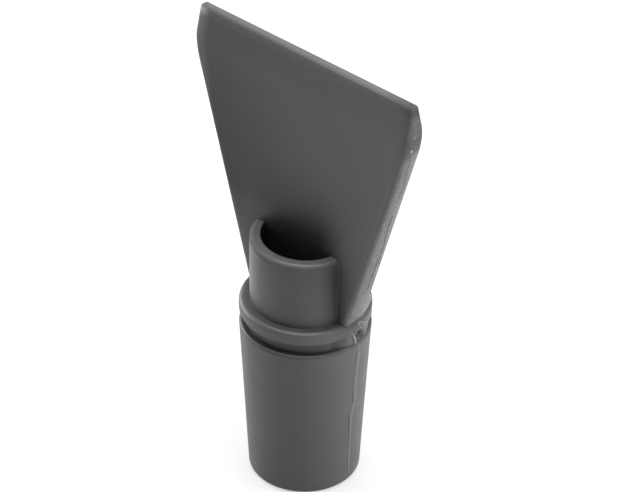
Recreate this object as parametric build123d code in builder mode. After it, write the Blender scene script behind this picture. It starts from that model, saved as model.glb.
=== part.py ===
from build123d import *
import math
import os

# One-piece moulded scraper that pushes onto a suction hose.
# The sleeve stands on its free end, its axis is Z, and the suction tube
# is on the front face of the blade, towards -Y.

# Sleeve: a hollow plug, narrower at its free end
sleeve_length = 52.0
sleeve_end_radius = 16.0
sleeve_top_radius = 18.9
sleeve_end_rounding = 1.7
sleeve_top_rounding = 0.9

# Groove between sleeve and collar
groove_height = 3.9
groove_depth = 1.9
neck_radius = sleeve_top_radius - groove_depth

# Collar, as wide as the sleeve's top
collar_radius = sleeve_top_radius
collar_thickness = 3.9
collar_top_rounding = 1.5
collar_bottom_rounding = (collar_radius - neck_radius) / 4

# Bore: straight at the mouth, slightly narrower further in
mouth_radius = 13.2
mouth_land = 20.0
bore_radius = 12.9
bore_taper_end = 44.0
mouth_chamfer = 0.3

# Suction tube in front of the blade, on the same axis as the sleeve
tube_outer_radius = 15.9
tube_height = 21.5
tube_rim_rounding = 1.4
tube_corner_fillet = 0.3

# Blade, seen from the front
blade_height = 81.5
blade_base_step = 0.45
blade_top_half_width = 38.7
blade_top_lean = 0.016
shoulder_drop = 12.5
shoulder_radius = 30.0

# Blade, seen from the side
blade_base_half_thickness = 4.1
blade_draft = 0.012
bevel_height = 8.4
blade_tip_half_thickness = 1.25
bevel_line_rounding = 16.0
blade_edge_rounding = 1.15
tip_edge_rounding = 0.9

# Sloping root behind the blade, above the closed half of the bore
root_height = 13.0
root_slope = 1.05
root_wall = 3.0
root_edge_rounding = 0.8

# How far blade, root and tube run down into the collar
root_depth = 1.0

# Heights that follow from the sizes above
collar_bottom = sleeve_length + groove_height
collar_top = collar_bottom + collar_thickness
blade_top = collar_top + blade_height
bevel_start = blade_top - bevel_height
rim_top = collar_top + tube_height
root_bottom = collar_top - root_depth

# Point where the flared side and the inward-leaning side would meet
shoulder_height = blade_top - shoulder_drop
shoulder_half_width = blade_top_half_width + blade_top_lean * shoulder_drop
blade_base_half_width = collar_radius - blade_base_step
blade_flare = (shoulder_half_width - blade_base_half_width) / (shoulder_height - collar_top)
root_bottom_half_width = blade_base_half_width - blade_flare * root_depth

# The root starts inside the blade
root_start = blade_base_half_thickness / 2

# Half thickness of the blade at the bottom of its root and where the bevel starts
root_bottom_half_thickness = blade_base_half_thickness + blade_draft * root_depth
bevel_half_thickness = blade_base_half_thickness - blade_draft * (bevel_start - collar_top)

# Sleeve, groove and collar as one turned body
with BuildPart() as base:
    with BuildSketch(Plane.XZ):
        with BuildLine():
            Polyline(
                (0, 0),
                (sleeve_end_radius, 0),
                (sleeve_top_radius, sleeve_length),
                (neck_radius, sleeve_length),
                (neck_radius, collar_bottom),
                (collar_radius, collar_bottom),
                (collar_radius, collar_top),
                (0, collar_top),
                close=True,
            )
        make_face()
    revolve(axis=Axis.Z)
    rings = base.edges().filter_by(GeomType.CIRCLE)
    end_ring = rings.filter_by_position(Axis.Z, -0.1, 0.1)
    fillet(end_ring, radius=sleeve_end_rounding)
    shoulder_ring = (
        base.edges()
        .filter_by(GeomType.CIRCLE)
        .filter_by_position(Axis.Z, sleeve_length - 0.1, sleeve_length + 0.1)
        .sort_by(SortBy.RADIUS)[-1]
    )
    fillet(shoulder_ring, radius=sleeve_top_rounding)
    collar_top_ring = base.edges().filter_by(GeomType.CIRCLE).sort_by(Axis.Z)[-1]
    fillet(collar_top_ring, radius=collar_top_rounding)
    collar_bottom_ring = (
        base.edges()
        .filter_by(GeomType.CIRCLE)
        .filter_by_position(Axis.Z, collar_bottom - 0.1, collar_bottom + 0.1)
        .sort_by(SortBy.RADIUS)[-1]
    )
    fillet(collar_bottom_ring, radius=collar_bottom_rounding)

# Blade: front outline cut to the side outline
with BuildPart() as blade:
    with BuildSketch(Plane.XZ):
        with BuildLine():
            Polyline(
                (-root_bottom_half_width, root_bottom),
                (root_bottom_half_width, root_bottom),
                (shoulder_half_width, shoulder_height),
                (blade_top_half_width, blade_top),
                (-blade_top_half_width, blade_top),
                (-shoulder_half_width, shoulder_height),
                close=True,
            )
        make_face()
    extrude(amount=2 * blade_base_half_thickness, both=True)
    shoulders = (
        blade.edges()
        .filter_by(Axis.Y)
        .filter_by_position(Axis.Z, shoulder_height - 0.1, shoulder_height + 0.1)
    )
    fillet(shoulders, radius=shoulder_radius)
    with BuildSketch(Plane.YZ):
        with BuildLine():
            Polyline(
                (-root_bottom_half_thickness, root_bottom),
                (root_bottom_half_thickness, root_bottom),
                (bevel_half_thickness, bevel_start),
                (blade_tip_half_thickness, blade_top),
                (-blade_tip_half_thickness, blade_top),
                (-bevel_half_thickness, bevel_start),
                close=True,
            )
        make_face()
    extrude(amount=2 * blade_top_half_width, both=True, mode=Mode.INTERSECT)
    bevel_lines = (
        blade.edges()
        .filter_by(Axis.X)
        .filter_by_position(Axis.Z, bevel_start - 0.1, bevel_start + 0.1)
    )
    fillet(bevel_lines, radius=bevel_line_rounding)
    tip_face = blade.faces().sort_by(Axis.Z)[-1]
    tip_lines = tip_face.edges().filter_by(Axis.X)
    fillet(tip_lines, radius=tip_edge_rounding)
    side_edges = blade.edges().filter_by(
        lambda edge: abs(edge.center().X) > blade_base_half_width
        and abs(edge.tangent_at(0.5).Y) < 0.5
    )
    fillet(side_edges, radius=blade_edge_rounding)

# Root behind the blade: a flared round body cut off by a slope
with BuildPart() as root:
    with BuildSketch(Plane.XZ):
        with BuildLine():
            Polyline(
                (0, root_bottom),
                (root_bottom_half_width, root_bottom),
                (blade_base_half_width + blade_flare * root_height, collar_top + root_height),
                (0, collar_top + root_height),
                close=True,
            )
        make_face()
    revolve(axis=Axis.Z)
    with BuildSketch(Plane.YZ):
        with BuildLine():
            Polyline(
                (root_start, root_bottom),
                (root_start, collar_top + root_height - root_slope * root_start),
                ((root_height + root_depth) / root_slope, root_bottom),
                close=True,
            )
        make_face()
    extrude(amount=2 * collar_radius, both=True, mode=Mode.INTERSECT)
    slope_face = root.faces().sort_by(Axis.Z)[-1]
    slope_rim = slope_face.edges().filter_by(GeomType.LINE, reverse=True)
    fillet(slope_rim, radius=root_edge_rounding)

# Suction tube: an open ring whose ends run into the blade
with BuildPart() as tube:
    with BuildSketch(Plane.XY.offset(root_bottom)):
        Circle(radius=tube_outer_radius)
        Circle(radius=bore_radius, mode=Mode.SUBTRACT)
        with Locations((0, tube_outer_radius - blade_base_half_thickness / 2)):
            Rectangle(
                4 * tube_outer_radius,
                2 * tube_outer_radius,
                mode=Mode.SUBTRACT,
            )
    extrude(amount=tube_height + root_depth)
    # Rounded outer edge of the rim
    rim_outer = tube.edges().filter_by(
        lambda edge: edge.geom_type == GeomType.CIRCLE
        and abs(edge.radius - tube_outer_radius) < 0.01
        and abs(edge.center().Z - rim_top) < 0.01
    )
    fillet(rim_outer, radius=tube_rim_rounding)

# Air way: the bore, closed behind the blade by a sloping ceiling
with BuildPart() as air_way:
    with BuildSketch(Plane.XZ):
        with BuildLine():
            Polyline(
                (0, 0),
                (mouth_radius + mouth_chamfer, 0),
                (mouth_radius, mouth_chamfer),
                (mouth_radius, mouth_land),
                (bore_radius, bore_taper_end),
                (bore_radius, rim_top),
                (0, rim_top),
                close=True,
            )
        make_face()
    revolve(axis=Axis.Z)
    ceiling_at_axis = collar_top + root_height - root_wall * math.hypot(1, root_slope)
    reach = 2 * bore_radius
    with BuildSketch(Plane.YZ):
        with BuildLine():
            Polyline(
                (-reach, -1),
                (reach, -1),
                (reach, ceiling_at_axis - root_slope * reach),
                (-reach, ceiling_at_axis + root_slope * reach),
                close=True,
            )
        make_face()
    extrude(amount=reach, both=True, mode=Mode.INTERSECT)

with BuildPart() as scraper_tool:
    add(base.part)
    add(blade.part)
    add(root.part)
    add(tube.part)
    # Filled corners where the tube runs into the blade
    wall_middle = (bore_radius + tube_outer_radius) / 2
    tube_corners = scraper_tool.edges().filter_by(
        lambda edge: edge.center().Y < 0
        and wall_middle < abs(edge.center().X) < tube_outer_radius
        and abs(edge.center().Z - collar_top - tube_height / 2) < 1
    )
    fillet(tube_corners, radius=tube_corner_fillet)
    add(air_way.part, mode=Mode.SUBTRACT)

scraper_tool.part.label = "scraper_tool"

os.makedirs("parts", exist_ok=True)
export_step(scraper_tool.part, "parts/scraper_tool.step")
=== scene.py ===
import math
import random

import bmesh
import bpy
from mathutils import Matrix, Vector


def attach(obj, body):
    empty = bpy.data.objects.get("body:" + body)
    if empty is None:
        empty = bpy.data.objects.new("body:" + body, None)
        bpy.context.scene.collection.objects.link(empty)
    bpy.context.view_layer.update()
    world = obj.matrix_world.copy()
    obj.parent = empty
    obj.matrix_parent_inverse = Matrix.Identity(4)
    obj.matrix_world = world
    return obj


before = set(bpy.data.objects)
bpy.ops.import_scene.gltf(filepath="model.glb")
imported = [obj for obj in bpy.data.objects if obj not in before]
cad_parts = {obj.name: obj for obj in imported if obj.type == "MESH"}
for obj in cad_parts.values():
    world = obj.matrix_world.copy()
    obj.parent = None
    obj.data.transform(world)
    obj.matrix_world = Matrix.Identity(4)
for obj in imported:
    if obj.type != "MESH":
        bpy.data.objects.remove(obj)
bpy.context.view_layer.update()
scene = bpy.context.scene
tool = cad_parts["scraper_tool"]

# Sizes of the moulding in mm, as the part has them. Its axis is Z, the tube
# is in front at -Y, and the line of flash runs down each side near Y = 0
MM = 0.001
sleeve_end_radius = 16.0
sleeve_top_radius = 18.9
sleeve_length = 52.0
neck_radius = 17.0
collar_bottom = 55.9
collar_top = 59.8
collar_rounding = 1.5
bore_radius = 12.9
tube_radius = 15.9
rim_top = 81.3
blade_base_half_width = 18.45
blade_base_half_thickness = 4.1
blade_flare = 0.2964
blade_draft = 0.012
shoulder_half_width = 38.9
shoulder_height = 128.8
shoulder_reach = 1.44
top_lean = 0.016
bevel_start = 132.9
bevel_slope = 0.235
blade_top = 141.3


class Graph:
    # The nodes of a material or a world. An operand is a number, a vector or
    # the output of a node, and each method gives back an output

    def __init__(self, owner):
        owner.use_nodes = True
        self.tree = owner.node_tree

    def node(self, kind, operation=None):
        node = self.tree.nodes.new(kind)
        if operation:
            node.operation = operation
        return node

    def feed(self, socket, operand):
        if isinstance(operand, bpy.types.NodeSocket):
            self.tree.links.new(operand, socket)
        else:
            socket.default_value = operand

    def feed_all(self, sockets, operands):
        for socket, operand in zip(sockets, operands):
            self.feed(socket, operand)

    def maths(self, operation, *operands):
        node = self.node("ShaderNodeMath", operation)
        self.feed_all(node.inputs, operands)
        return node.outputs["Value"]

    def product(self, first, *others):
        for other in others:
            first = self.maths("MULTIPLY", first, other)
        return first

    def total(self, first, *others):
        for other in others:
            first = self.maths("ADD", first, other)
        return first

    def rest(self, share):
        # What is left of 1
        return self.maths("SUBTRACT", 1.0, share)

    def vector_maths(self, operation, output, *operands):
        node = self.node("ShaderNodeVectorMath", operation)
        self.feed_all(node.inputs, operands)
        return node.outputs[output]

    def scaled(self, vector, factor):
        node = self.node("ShaderNodeVectorMath", "SCALE")
        self.feed(node.inputs[0], vector)
        self.feed(node.inputs["Scale"], factor)
        return node.outputs["Vector"]

    def split(self, vector):
        node = self.node("ShaderNodeSeparateXYZ")
        self.feed(node.inputs["Vector"], vector)
        return node.outputs["X"], node.outputs["Y"], node.outputs["Z"]

    def spread(self, value, low, high, to_low, to_high):
        # Goes from to_low to to_high while the value goes from low to high
        node = self.node("ShaderNodeMapRange")
        self.feed(node.inputs["Value"], value)
        self.feed(node.inputs["From Min"], low)
        self.feed(node.inputs["From Max"], high)
        self.feed(node.inputs["To Min"], to_low)
        self.feed(node.inputs["To Max"], to_high)
        return node.outputs["Result"]

    def ramp(self, length, start, end, to_start=0, to_end=1):
        # The same for a length, with its start and end in mm
        return self.spread(length, start * MM, end * MM, to_start, to_end)

    def band(self, length, start, full, fading, end, strength=1):
        # Rises to its strength from start to full, and falls from fading to end
        rise = self.ramp(length, start, full, 0, strength)
        fall = self.ramp(length, fading, end, 1, 0)
        return self.product(rise, fall)

    def bump(self, height, distance, under=None):
        node = self.node("ShaderNodeBump")
        self.feed(node.inputs["Strength"], 1)
        self.feed(node.inputs["Distance"], distance)
        self.feed(node.inputs["Height"], height)
        if under is not None:
            self.feed(node.inputs["Normal"], under)
        return node.outputs["Normal"]

    def colour_ramp(self, share, stops):
        node = self.node("ShaderNodeValToRGB")
        elements = node.color_ramp.elements
        first, *between, last = stops
        elements[0].position, elements[0].color = first
        elements[1].position, elements[1].color = last
        for position, colour in between:
            elements.new(position).color = colour
        self.feed(node.inputs["Fac"], share)
        return node.outputs["Color"]

    def white(self, kind, strength):
        # A white Emission or Background
        node = self.node(kind)
        self.feed(node.inputs["Color"], (1, 1, 1, 1))
        self.feed(node.inputs["Strength"], strength)
        return node.outputs[0]

    def seen(self):
        # 1 for the camera and for what is seen in or through something, else 0
        path = self.node("ShaderNodeLightPath").outputs
        seen = self.maths("MAXIMUM", path["Is Camera Ray"], path["Is Glossy Ray"])
        return self.maths("MAXIMUM", seen, path["Is Transmission Ray"])

    def mixed(self, share, first, second):
        node = self.node("ShaderNodeMixShader")
        self.feed_all(node.inputs, (share, first, second))
        return node.outputs[0]


class Plastic(Graph):
    # Dark grey satin plastic with a faint moulded grain

    cloudiness = 0.07
    ripple_height = 0.00004

    def __init__(self, name, tint, smooth, rough, grain):
        self.material = bpy.data.materials.new(name)
        super().__init__(self.material)
        self.shader = self.tree.nodes["Principled BSDF"]
        self.set("IOR", 1.5)
        texture = self.node("ShaderNodeTexCoord")
        self.place = texture.outputs["Object"]
        self.facing = texture.outputs["Normal"]

        # Faint clouds in the colour, a few millimetres to a few centimetres across
        darker = [(1 - self.cloudiness) * value for value in tint]
        paler = [(1 + self.cloudiness) * value for value in tint]
        stops = ((0.3, (*darker, 1)), (0.7, (*paler, 1)))
        clouds = self.colour_ramp(self.noise(45, 4, 0.6), stops)

        # The sleeve is a trace cooler and the blade's top a trace warmer
        cool = (0.965, 1.02, 1.01, 1)
        neutral = (1, 1, 1, 1)
        warm = (1.07, 1.0, 0.93, 1)
        stops = ((0.3, cool), (0.45, neutral), (0.85, neutral), (0.98, warm))
        climb = self.ramp(self.split(self.place)[2], 0, 142)
        mix = self.node("ShaderNodeMix")
        mix.data_type = "RGBA"
        mix.blend_type = "MULTIPLY"
        self.feed(mix.inputs[0], 1)
        self.feed(mix.inputs[6], clouds)
        self.feed(mix.inputs[7], self.colour_ramp(climb, stops))
        self.colour = mix.outputs[2]
        self.set("Base Color", self.colour)

        # Patches that are a little smoother or duller
        self.dullness = self.spread(self.noise(120, 3, 0.55), 0.3, 0.7, smooth, rough)
        self.set("Roughness", self.dullness)

        # Slow ripple of the moulded wall under a fine grain
        ripple = self.bump(self.noise(70, 2, 0.5), self.ripple_height)
        self.ripple = ripple.node
        self.set("Normal", self.bump(self.noise(2600, 2, 0.6), grain, ripple))

    def set(self, name, operand):
        self.feed(self.shader.inputs[name], operand)

    def noise(self, scale, detail, roughness):
        node = self.node("ShaderNodeTexNoise")
        self.feed(node.inputs["Scale"], scale)
        self.feed(node.inputs["Detail"], detail)
        self.feed(node.inputs["Roughness"], roughness)
        self.feed(node.inputs["Vector"], self.place)
        return node.outputs["Fac"]

    def shade(self, factor):
        self.set("Base Color", self.scaled(self.colour, factor))


def tool_material():
    graph = Plastic("plastic", (0.045, 0.045, 0.0455), 0.42, 0.5, 0.000006)
    maths = graph.maths
    product = graph.product
    total = graph.total
    ramp = graph.ramp
    band = graph.band
    x, y, z = graph.split(graph.place)
    flat_place = graph.vector_maths("MULTIPLY", "Vector", graph.place, (1, 1, 0))
    from_axis = graph.vector_maths("LENGTH", "Value", flat_place)
    front_left = (-0.753, -0.658, 0)
    leftward = graph.vector_maths("DOT_PRODUCT", "Value", graph.place, front_left)
    facing_x = maths("ABSOLUTE", graph.split(graph.facing)[0])
    sideways = graph.spread(facing_x, 0.75, 0.95, 0, 1)

    # How far in from the blade's outline a place is, seen from the front
    flared = maths(
        "MULTIPLY_ADD", z, blade_flare, (blade_base_half_width - blade_flare * collar_top) * MM
    )
    leaning = maths(
        "MULTIPLY_ADD", z, -top_lean, (shoulder_half_width + top_lean * shoulder_height) * MM
    )
    outline = maths("SMOOTH_MIN", flared, leaning, shoulder_reach * MM)
    across = maths("ABSOLUTE", x)
    inward = maths("MAXIMUM", maths("SUBTRACT", outline, across), 0.0)
    above = ramp(z, collar_top - 0.3, collar_top + 0.7)
    at_side = product(ramp(inward, 2.5, 4.0, 1, 0), above)

    # The blade's faces roll off towards its sides, widest at the shoulders
    roll_slope = 0.5
    roll_width = ramp(z, 113, 125, 1.8 * MM, 4.5 * MM)
    roll = maths("MAXIMUM", maths("SUBTRACT", roll_width, inward), 0.0)
    roll = product(roll, roll, -roll_slope / 2)
    roll = product(maths("DIVIDE", roll, roll_width), above)

    # The bevel rolls off towards the scraping edge too
    tip_width = 3.0
    tip_slope = 0.55
    past = maths("MAXIMUM", maths("SUBTRACT", z, (blade_top - tip_width) * MM), 0.0)
    tip_roll = product(past, past, -tip_slope / (2 * tip_width * MM))
    rolled = graph.bump(total(roll, tip_roll), 1)

    # The narrow sides are slightly crowned from front to back
    crown_radius = 12.5
    half = maths(
        "MULTIPLY_ADD", z, -blade_draft, (blade_base_half_thickness + blade_draft * collar_top) * MM
    )
    half_at_bevel = blade_base_half_thickness - blade_draft * (bevel_start - collar_top)
    bevel = maths(
        "MULTIPLY_ADD", z, -bevel_slope, (half_at_bevel + bevel_slope * bevel_start) * MM
    )
    half = maths("MINIMUM", half, bevel)
    depth = maths("SUBTRACT", product(half, half), product(y, y))
    depth = maths("DIVIDE", maths("MAXIMUM", depth, 0.0), 2 * crown_radius * MM)
    crowned = graph.bump(product(depth, at_side), 1, rolled)

    # Below a dark slanting notch the sides are rough, above it smooth
    notch_height = 127.1
    notch_slant = 0.32
    notch_half_width = 0.6
    notch_depth = 0.6
    wander = graph.spread(graph.noise(900, 2, 0.6), 0.3, 0.7, -0.4 * MM, 0.4 * MM)
    notch_line = total(maths("MULTIPLY_ADD", y, notch_slant, notch_height * MM), wander)
    over_notch = maths("SUBTRACT", z, notch_line)
    from_notch = maths("ABSOLUTE", over_notch)
    notch = ramp(from_notch, 0, notch_half_width, -notch_depth * MM, 0)
    notch = product(notch, sideways, at_side)
    pits = graph.spread(graph.noise(800, 3, 0.6), 0.4, 0.7, 0, 0.14 * MM)
    pits = product(pits, ramp(over_notch, -0.6, 0, 1, 0), sideways, at_side)
    scarred = graph.bump(total(pits, notch), 1, crowned)
    graph.feed(graph.ripple.inputs["Normal"], scarred)

    # Paler where the blade's edges and sides are scuffed, and painted light on them that is strongest
    # at the back
    scuffs = graph.spread(graph.noise(260, 3, 0.6), 0.3, 0.7, 0.85, 1.15)
    specks = graph.spread(graph.noise(1300, 2, 0.5), 0.35, 0.65, 0.55, 1.45)
    painted_light_to_back = total(ramp(y, -4, 4, 0.9, 2.2), ramp(y, 0.5, 4, 0, 1.3))
    below_notch = ramp(over_notch, -3, 1, 1, -0.8)
    scuffs_and_painted_light = product(
        ramp(inward, 0.4, 2.8, 0.42, 0), specks, scuffs, above, below_notch, painted_light_to_back
    )

    # Painted light on the soft turn at the shoulders, and painted shade at the scraping edge's right
    # end
    turn = product(ramp(inward, 0.5, 4.5, 0.55, 0), graph.rest(sideways), ramp(z, 113, 124))
    on_tip = ramp(z, 137.5, 139.0)
    painted_shade_at_tip_end = product(ramp(x, 10, 37, 0.05, -0.1), on_tip)

    # One pale speck in the smooth part of the right side
    speck_place = Vector((38.8, -0.6, 131.9)) * MM
    from_speck = graph.vector_maths("DISTANCE", "Value", graph.place, speck_place)
    speck = ramp(from_speck, 0.2, 0.6, 2.0, 0)

    # Painted shade darkens the blade towards its left, less so higher up, and its shine drops there too
    drift = graph.spread(graph.noise(30, 2, 0.5), 0.3, 0.7, -8 * MM, 8 * MM)
    on_blade = product(ramp(z, 70, 90), ramp(z, 103, 136, 1.1, 0.35))
    painted_shade_to_left = product(ramp(total(x, drift), -36, 36, -0.75, 0.14), on_blade)
    painted_shade_to_left = total(painted_shade_to_left, 1.0)
    shine = graph.spread(painted_shade_to_left, 0.25, 1.0, 0.34, 0.5)
    shine = maths("MAXIMUM", shine, product(on_tip, 0.5))

    # Painted shade inside the bore and the tube, and on the blade above them, where they are also less
    # shiny
    over_rim = ramp(z, rim_top, rim_top + 0.2)
    in_bore = ramp(from_axis, bore_radius, bore_radius + 0.4, 1, 0)
    near_bore = ramp(from_axis, 8.5, 17.5, 1, 0)
    painted_shade_inside = maths("MULTIPLY_ADD", maths("SUBTRACT", near_bore, in_bore), over_rim, in_bore)
    in_front = maths("MAXIMUM", ramp(y, -3.6, -2.8, 1, 0), ramp(z, 56, 57.5, 1, 0))
    painted_shade_inside = graph.rest(product(painted_shade_inside, ramp(z, 86, 106, 0.75, 0), in_front))
    shine = product(shine, graph.spread(painted_shade_inside, 0.25, 1.0, 0.8, 1))
    graph.set("Specular IOR Level", shine)

    # Painted shade in the tube's corners with the blade
    corner_half_width = 15.4
    corner_x = maths("SUBTRACT", across, corner_half_width * MM)
    corner_y = total(y, blade_base_half_thickness * MM)
    from_corner = maths("SQRT", total(product(corner_x, corner_x), product(corner_y, corner_y)))
    on_tube = ramp(y, -5.2, -4.2, 1, 0)
    painted_shade_in_corner = total(
        ramp(from_corner, 0.5, 5.5, 0.65, 0), product(ramp(from_corner, 0.5, 9.5, 0.3, 0), on_tube)
    )
    painted_shade_in_corner = product(painted_shade_in_corner, ramp(z, 77, 84, 1, 0), above, graph.rest(at_side))
    painted_shade_in_corner = graph.rest(painted_shade_in_corner)

    # Painted light on the rim's top and on the tube's left side
    near_tube = ramp(from_axis, tube_radius + 0.1, tube_radius + 0.4, 1, 0)
    before_blade = ramp(y, -4.6, -4.3, 1, 0)
    painted_light_on_rim = product(band(z, 80.0, 81.1, 81.4, 81.6, 0.65), near_tube, before_blade)
    painted_light_on_tube_left = product(
        ramp(leftward, 13.0, 15.8, 0, 1.4), near_tube, on_tube, band(z, 61.0, 64.0, 79.7, 80.7)
    )

    # Painted shade on the sleeve low down, and at its top edge and in the groove under the collar
    below_collar = ramp(z, collar_bottom, collar_bottom + 0.2, 1, 0)
    painted_shade_low_down = product(ramp(z, 0, 50, -0.24, -0.03), below_collar)
    before_flash = ramp(y, -9, -4, 1, 0)
    painted_shade_at_sleeve_top = product(band(z, 50.9, 51.5, 54.0, 56.2, -0.42), before_flash)

    # Painted light on the collar's side in front, and painted shade beside the flash
    past_neck = ramp(from_axis, neck_radius + 0.2, neck_radius + 1.0)
    beside = product(ramp(y, -10, -4, 0.2, -0.28), ramp(y, 2.5, 4, 1, 0))
    painted_light_and_shade_on_collar = product(beside, band(z, 55.8, 56.0, 58.3, 60.0), past_neck)

    shade = total(scuffs_and_painted_light, 1.0, turn, painted_shade_at_tip_end, speck)
    shade = product(shade, painted_shade_to_left, painted_shade_inside, painted_shade_in_corner)
    graph.shade(total(shade, painted_light_on_tube_left, painted_shade_low_down, painted_light_on_rim, painted_shade_at_sleeve_top, painted_light_and_shade_on_collar))

    # Rougher where the photo shows no highlight: the right ends of the collar's
    # and the sleeve's top edges and of the scraping edge, and the rim's left end
    rougher = 0.4
    at_right = ramp(y, -11, -6)
    collar_edge = product(band(z, 58.0, 58.5, 60.0, 60.4), past_neck)
    sleeve_top = band(z, 50.0, 51.0, 52.5, 53.0)
    tip_corner = product(ramp(x, 28, 36), on_tip)
    rim_left = product(ramp(leftward, 8, 12, 0, 0.8), band(z, 79.5, 80.0, 81.4, 81.6), near_tube)
    dull = total(product(total(collar_edge, sleeve_top), at_right), tip_corner, rim_left)
    graph.set("Roughness", maths("MULTIPLY_ADD", dull, rougher, graph.dullness))
    return graph.material


def fill_material():
    graph = Plastic("fill_plastic", (0.047, 0.047, 0.0475), 0.42, 0.5, 0.000008)
    x, y, z = graph.split(graph.place)
    right_side = graph.node("ShaderNodeCombineXYZ")
    graph.feed_all(right_side.inputs, (graph.maths("ABSOLUTE", x), y, z))

    # Painted shade in the small pits beside the web, with less shine there, as centre, radius and
    # strength
    pit_shades = []
    for spot, radius, strength in (
        ((18.6, 1.8, 54.2), 1.9, 0.85),
        ((18.5, 3.3, 52.8), 0.8, 0.6),
        ((18.5, 3.6, 51.6), 0.8, 0.6),
        ((18.8, 1.5, 52.0), 0.9, 0.6),
        ((18.2, 3.2, 53.0), 2.4, 0.5),
    ):
        centre = Vector(spot) * MM
        away = graph.vector_maths("DISTANCE", "Value", right_side.outputs["Vector"], centre)
        pit_shades.append(graph.ramp(away, 0.3 * radius, radius, 1 - strength, 1))
    unshaded = graph.product(*pit_shades)
    graph.set("Specular IOR Level", graph.spread(unshaded, 0, 1, 0.05, 0.5))

    # Painted shade towards the fill's front and back ends, where the groove deepens
    front_end = graph.ramp(y, -7.8, -1.5, 0.4, 1)
    back_end = graph.ramp(y, 9.2, 11.2, 1, 0.4)
    graph.shade(graph.product(unshaded, front_end, back_end))
    return graph.material


tool.data.materials.clear()
tool.data.materials.append(tool_material())
# The flash's pale colour is partly the whitened plastic of thin flash and partly a painted highlight on
# its ridges; the grains share it
flash_plastic = Plastic("flash_plastic", (0.125, 0.125, 0.126), 0.42, 0.5, 0.000008).material
seam_plastic = Plastic("seam_plastic", (0.062, 0.062, 0.0625), 0.45, 0.52, 0.000008).material
fill_plastic = fill_material()


# The web across the groove stands on its fill
web_radius = 18.4

# A ridge follows its path in steps of this length
ridge_step = 0.35


# Places on the right side in mm, each as a point and the way that faces out
def on_ring(radius, y, z):
    x = math.sqrt(radius**2 - y**2)
    return Vector((x, y, z)), Vector((x, y, 0)).normalized()


def on_sleeve(y, z):
    widening = sleeve_top_radius - sleeve_end_radius
    return on_ring(sleeve_end_radius + widening * z / sleeve_length, y, z)


def on_collar(y, z):
    # The collar's top edge is rounded
    rise = max(z - (collar_top - collar_rounding), 0)
    radius = sleeve_top_radius - collar_rounding + math.sqrt(collar_rounding**2 - rise**2)
    return on_ring(radius, y, z)


def on_web(y, z):
    return on_ring(web_radius, y, z)


def on_side(y, z):
    x = blade_base_half_width + blade_flare * (z - collar_top)
    return Vector((x, y, z)), Vector((1, 0, -blade_flare)).normalized()


def side_at(z):
    # Half width of the blade's outline, with the shoulder's soft corner
    flared = blade_base_half_width + blade_flare * (z - collar_top)
    leaning = shoulder_half_width - top_lean * (z - shoulder_height)
    gap = max(shoulder_reach - abs(flared - leaning), 0) / shoulder_reach
    return min(flared, leaning) - gap * gap * shoulder_reach / 4


def resample(path):
    # Points at even steps along a broken line of points
    points = [Vector(path[0])]
    for start, end in zip(path, path[1:]):
        start = Vector(start)
        end = Vector(end)
        count = max(1, round((end - start).length / ridge_step))
        for index in range(1, count + 1):
            points.append(start.lerp(end, index / count))
    return points


def add_ridge(body, path, surface, front, back, height, chance, wobble, sunk):
    # A low irregular ridge along a path of (y, z) on one of the surfaces
    places = []
    for point in resample([(y, z, 0) for y, z in path]):
        shift = chance.uniform(-wobble, wobble)
        places.append(surface(point[0] + shift, point[1]))
    rings = []
    last = len(places) - 1
    for index, (point, outward) in enumerate(places):
        before = places[max(index - 1, 0)][0]
        after = places[min(index + 1, last)][0]
        along = (after - before).normalized()
        across = along.cross(outward).normalized()
        if across.y < 0:
            across = -across
        ends = min(1, 0.2 + 0.5 * min(index, last - index))
        tall = height * ends * chance.uniform(0.75, 1.2)
        ring = []
        for side, out in (
            (-front, -sunk),
            (-0.45 * front, 0.65 * tall),
            (0, tall),
            (0.45 * back, 0.6 * tall),
            (back, -sunk),
            (0, -2 * sunk),
        ):
            ring.append(body.verts.new(point + across * side * ends + outward * out))
        rings.append(ring)
    for first, second in zip(rings, rings[1:]):
        for index in range(len(first)):
            follow = (index + 1) % len(first)
            body.faces.new((first[index], first[follow], second[follow], second[index]))
    body.faces.new(rings[0])
    body.faces.new(rings[-1])


def finish_piece(body, name, mirrored, material):
    # Millimetres to metres, mirrored to the other side when asked
    factor = Vector((-MM if mirrored else MM, MM, MM))
    for vertex in body.verts:
        vertex.co = Vector([a * b for a, b in zip(vertex.co, factor)])
    bmesh.ops.recalc_face_normals(body, faces=body.faces)
    for face in body.faces:
        face.smooth = True
    mesh = bpy.data.meshes.new(name)
    body.to_mesh(mesh)
    body.free()
    mesh.materials.append(material)
    piece = bpy.data.objects.new(name, mesh)
    scene.collection.objects.link(piece)
    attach(piece, "root")


# Flash left by the mould, down both sides: blade, collar, groove and sleeve.
# Each line gives the surface, the widths in front and behind, the height,
# how far it wanders and its path of (y, z)
crisp_lines = (
    (on_sleeve, 0.4, 0.4, 0.22, 0.04, ((1.0, 51.2), (1.25, 50.0), (1.45, 48.5), (1.42, 46.5))),
    (on_web, 0.85, 0.3, 0.27, 0.03, ((-0.6, 55.4), (-0.1, 54.3), (0.5, 52.5), (1.05, 50.8))),
    (on_collar, 0.32, 0.36, 0.3, 0.04, ((0.7, 59.1), (1.3, 57.8), (2.0, 56.5), (2.9, 56.1))),
    (on_collar, 0.3, 0.3, 0.24, 0.04, ((0.95, 59.2), (2.3, 58.5), (3.9, 57.3))),
    (on_collar, 0.5, 0.5, 0.16, 0.04, ((3.4, 56.6), (5.8, 56.3), (8.2, 56.15), (10.5, 56.1))),
    (on_side, 0.3, 0.45, 0.2, 0.08, ((0.9, 72.1), (0.9, 75.0), (1.1, 77.3), (0.9, 79.4), (1.5, 85.9))),
)
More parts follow.
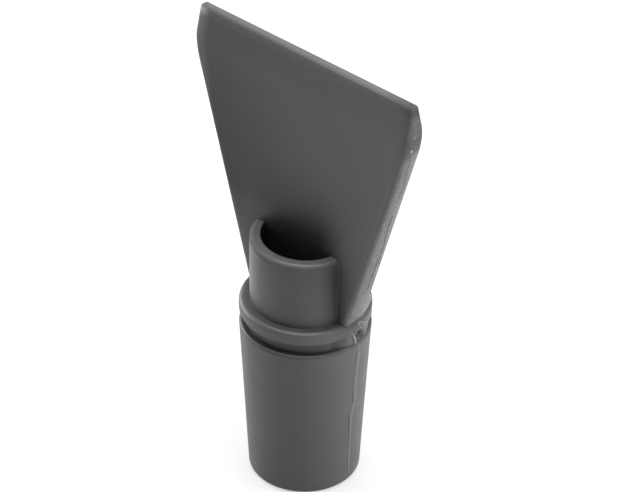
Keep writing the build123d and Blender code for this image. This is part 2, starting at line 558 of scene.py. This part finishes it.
soft_lines = (
    (on_sleeve, 0.9, 1.3, 0.06, 0.03, ((1.42, 48.0), (1.02, 41.8), (0.86, 36.0), (1.45, 29.7))),
    (on_sleeve, 0.8, 1.0, 0.06, 0.03, ((1.3, 30.2), (0.0, 26.4), (0.3, 19.0))),
    (on_sleeve, 0.6, 0.6, 0.08, 0.03, ((0.35, 19.6), (0.32, 11.5), (0.89, 5.0), (0.95, 2.6))),
    (on_collar, 0.25, 0.3, 0.12, 0.04, ((1.82, 56.6), (0.45, 56.2), (-0.8, 56.1), (-2.4, 56.5))),
    (on_side, 0.25, 0.4, 0.12, 0.1, ((1.5, 85.9), (1.3, 89.6), (0.7, 94.0), (0.2, 98.0), (0.5, 102.0))),
    (on_side, 0.25, 0.3, 0.1, 0.1, ((0.7, 108), (0.9, 113), (0, 118), (-0.4, 122), (-0.8, 125))),
)
for side_name, mirrored, seed in (("right", False, 3), ("left", True, 8)):
    for name, lines, material, sunk in (
        ("flash_", crisp_lines, flash_plastic, 0.12),
        ("seam_", soft_lines, seam_plastic, 0.05),
    ):
        chance = random.Random(seed)
        body = bmesh.new()
        for surface, front, behind, height, wobble, line in lines:
            add_ridge(body, line, surface, front, behind, height, chance, wobble, sunk)
        finish_piece(body, name + side_name, mirrored, material)

# Near the flash the groove gets shallow, behind it it is filled, with a pit
# and a dip behind the web, and it opens again further round. The profile
# gives the fill's radius at angles from the right side
fill_bottom = 50.9
fill_height = 5.6
fill_core_radius = 16.4
fill_edge_radius = 17.9
fill_unevenness = 0.03
web_lean = 5.0
pit_depth = 0.6
dip_depth = 0.3
columns = 90
rows = 15
profile = (
    (-26, 16.8),
    (-20, 17.15),
    (-14, 17.7),
    (-9, 18.15),
    (-4, 18.3),
    (1.0, 18.4),
    (3, 18.3),
    (12, 18.5),
    (20, 18.35),
    (32, 18.1),
    (40, 16.8),
)


def fill_radius(angle):
    for (start, low), (end, high) in zip(profile, profile[1:]):
        if start <= angle <= end:
            return low + (high - low) * (angle - start) / (end - start)
    return profile[-1][1]


for side_name, mirrored, seed in (("right", False, 5), ("left", True, 6)):
    chance = random.Random(seed)
    body = bmesh.new()
    outer = []
    inner = []
    for column in range(columns):
        turn = profile[0][0] + (profile[-1][0] - profile[0][0]) * column / (columns - 1)
        outer_line = []
        inner_line = []
        for row in range(rows):
            rise = row / (rows - 1)
            z = fill_bottom + fill_height * rise
            # Near the web the columns lean forward towards the collar
            angle = math.radians(turn - web_lean * (rise - 0.45) * max(0, 1 - abs(turn) / 14))
            radius = fill_radius(turn)
            pit = math.exp(-(((turn - 6.5) / 3) ** 2) - ((rise - 0.66) / 0.22) ** 2)
            dip = math.exp(-(((turn - 10.5) / 1.2) ** 2)) * max(0, 1 - 1.3 * rise)
            radius -= pit_depth * pit + dip_depth * dip
            if 0 < row < rows - 1:
                radius += chance.uniform(-fill_unevenness, fill_unevenness)
            else:
                radius = min(radius, fill_edge_radius)
            spin = Vector((math.cos(angle), math.sin(angle), 0))
            outer_line.append(body.verts.new(spin * radius + Vector((0, 0, z))))
            inner_line.append(body.verts.new(spin * fill_core_radius + Vector((0, 0, z))))
        outer.append(outer_line)
        inner.append(inner_line)
    for column in range(columns - 1):
        for row in range(rows - 1):
            for sheet in (outer, inner):
                body.faces.new(
                    (
                        sheet[column][row],
                        sheet[column + 1][row],
                        sheet[column + 1][row + 1],
                        sheet[column][row + 1],
                    )
                )
        for row in (0, rows - 1):
            body.faces.new(
                (outer[column][row], outer[column + 1][row], inner[column + 1][row], inner[column][row])
            )
    for row in range(rows - 1):
        for column in (0, columns - 1):
            body.faces.new(
                (outer[column][row], outer[column][row + 1], inner[column][row + 1], inner[column][row])
            )
    finish_piece(body, "groove_fill_" + side_name, mirrored, fill_plastic)

# Small grains stuck in the right side and one on the bevel, each as how far
# it is in from the side, its height, y and size. They are a little flat,
# partly sunk, and stay within the part's width
grain_flatness = 0.75
grain_sunk = 0.35
grain_limit = 38.8
chance = random.Random(11)
body = bmesh.new()
for inset, z, y, size in (
    (0, 127.4, -1.4, 0.75),
    (0, 123.1, -0.8, 0.3),
    (0, 120.0, 0.0, 0.28),
    (0, 116.2, 0.0, 0.26),
    (0, 112.8, 1.0, 0.28),
    (0, 109.9, 0.7, 0.26),
    (0, 100.6, -3.0, 0.4),
    (0, 97.4, 0.2, 0.3),
    (0, 93.0, 2.0, 0.24),
    (0, 82.0, 2.4, 0.26),
    (0, 71.0, 1.2, 0.45),
    (25.1, 135.4, -2.62, 0.25),
):
    x = side_at(z) - inset - grain_sunk * size
    grain = bmesh.ops.create_icosphere(body, subdivisions=2, radius=1)["verts"]
    stretch = chance.uniform(1.0, 1.5)
    for vertex in grain:
        bump = size * chance.uniform(0.85, 1.15)
        vertex.co = Vector(
            (
                min(x + vertex.co.x * grain_flatness * bump, grain_limit),
                y + vertex.co.y * bump,
                z + vertex.co.z * stretch * bump,
            )
        )
finish_piece(body, "grains", False, flash_plastic)

# Floor: pale, white to the camera where nothing shades it
bpy.ops.mesh.primitive_plane_add(size=6, location=(0, 0, 0))
floor = bpy.context.object
floor.name = "floor"
floor_material = bpy.data.materials.new("floor")
graph = Graph(floor_material)
shader = graph.tree.nodes["Principled BSDF"]
graph.feed(shader.inputs["Base Color"], (0.8, 0.8, 0.8, 1))
graph.feed(shader.inputs["Roughness"], 0.9)
place = graph.node("ShaderNodeTexCoord").outputs["Object"]
far = graph.vector_maths("LENGTH", "Value", place)
share = graph.product(graph.seen(), graph.ramp(far, 250, 600, 0.6, 1))
mixed = graph.mixed(share, shader.outputs[0], graph.white("ShaderNodeEmission", 1))
graph.feed(graph.tree.nodes["Material Output"].inputs[0], mixed)
floor.data.materials.append(floor_material)

# Soft square lamps overhead, low at the right, behind at the left and low at
# the left, each with its place, size and power
lamp_target = Vector((0, 0, 0.07))
for name, place, size, power in (
    ("above", (0, 0, 1.0), 0.8, 14.2),
    ("above_right", (0.55, -0.05, 0.85), 0.6, 0.8),
    ("behind", (-0.5, 0.7, 0.6), 0.6, 2.6),
    ("low_right", (0.8, 0.45, 0.12), 0.4, 14.0),
    ("low_left", (-0.8, -0.1, 0.2), 0.5, 6.8),
):
    lamp_data = bpy.data.lights.new(name, "AREA")
    lamp_data.shape = "SQUARE"
    lamp_data.size = size
    lamp_data.energy = power
    lamp = bpy.data.objects.new(name, lamp_data)
    scene.collection.objects.link(lamp)
    lamp.location = place
    lamp.rotation_mode = "QUATERNION"
    lamp.rotation_quaternion = (lamp_target - Vector(place)).to_track_quat("-Z", "Y")

# World: white to the camera and in reflections, and no light on the object
world = bpy.data.worlds.new("world")
scene.world = world
graph = Graph(world)
graph.tree.nodes.clear()
dark = graph.white("ShaderNodeBackground", 0)
bright = graph.white("ShaderNodeBackground", 1)
world_output = graph.node("ShaderNodeOutputWorld")
graph.feed(world_output.inputs[0], graph.mixed(graph.seen(), dark, bright))

scene.view_settings.view_transform = "Standard"

# Camera: placed where the photo's shapes were measured to fit
azimuth = math.radians(41.1388)
elevation = math.radians(36.1867)
camera_roll = math.radians(0.6032)
camera_place = (0.596815, -0.678542, 0.737935)
right = Vector((math.cos(azimuth), math.sin(azimuth), 0))
up = Vector(
    (
        -math.sin(azimuth) * math.sin(elevation),
        math.cos(azimuth) * math.sin(elevation),
        math.cos(elevation),
    )
)
back = right.cross(up)
rolled_right = right * math.cos(camera_roll) + up * math.sin(camera_roll)
rolled_up = up * math.cos(camera_roll) - right * math.sin(camera_roll)
camera_data = bpy.data.cameras.new("camera")
camera_data.lens = 227.13
camera_data.sensor_width = 36
camera_data.clip_start = 0.05
camera_data.clip_end = 20
camera = bpy.data.objects.new("camera", camera_data)
scene.collection.objects.link(camera)
turned = Matrix((rolled_right, rolled_up, back)).transposed()
camera.matrix_world = Matrix.Translation(camera_place) @ turned.to_4x4()
scene.camera = camera
